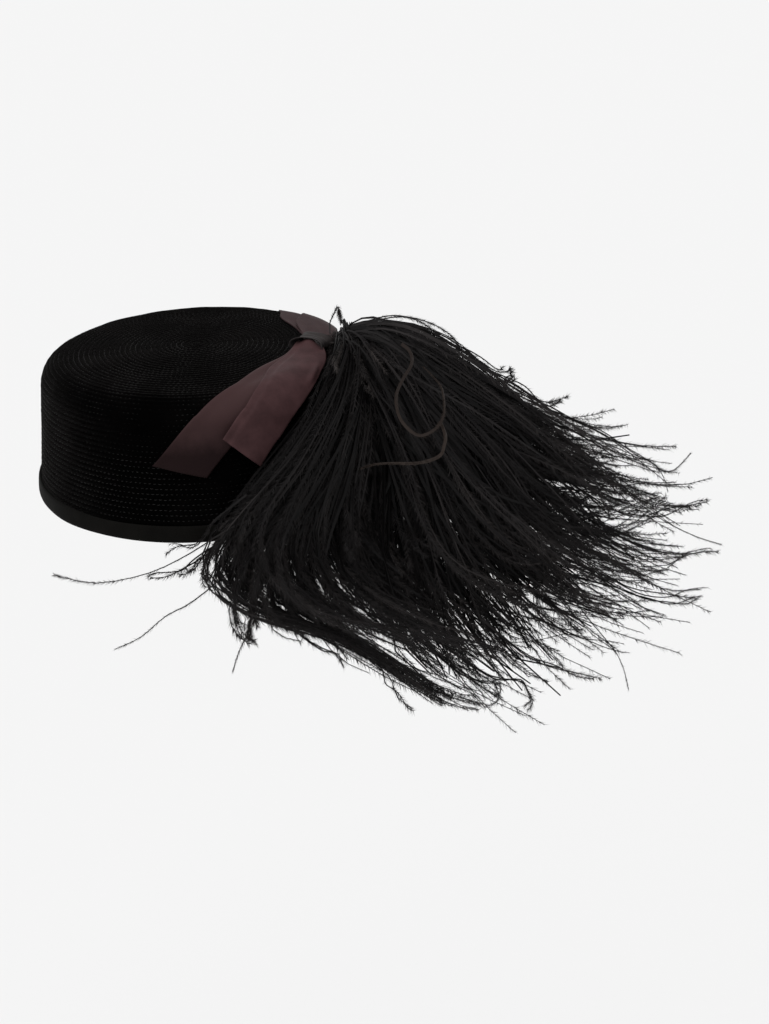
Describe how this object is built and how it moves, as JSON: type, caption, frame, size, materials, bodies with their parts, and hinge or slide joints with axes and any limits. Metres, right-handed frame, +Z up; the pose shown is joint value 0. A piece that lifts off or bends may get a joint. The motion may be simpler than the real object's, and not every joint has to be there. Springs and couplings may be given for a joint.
{
  "type": "cocktail hat",
  "caption": "Low oval pillbox hat of black stitched velvet with a bound rim, a brown satin ribbon bow at one side of the top and a full black ostrich plume that falls from it past the rim.",
  "frame": {"origin": "middle of the head opening, in the plane of the rim, where the hat sits on a head", "axes": "+Z up through the crown, -Y towards the onlooker, +X towards the side with the bow and the plume"},
  "size_m": [0.3572, 0.2518, 0.1915],
  "materials": {
    "velvet": "black velvet stitched in close rows",
    "binding": "smooth matte black binding strip",
    "satin": "dark brown satin ribbon with a soft sheen",
    "wrap": "dark grey-brown ribbon, tightly wrapped",
    "feather": "black ostrich flues with fine fluffy barbs"
  },
  "bodies": {
    "root": {"crown": "velvet", "edge_binding": "binding", "bow_tail_long": "satin", "bow_tail_wide": "satin", "bow_tail_back_left": "satin", "bow_tail_back_right": "satin", "bow_knot": "wrap", "ostrich_plume": "feather"}
  },
  "joints": []
}
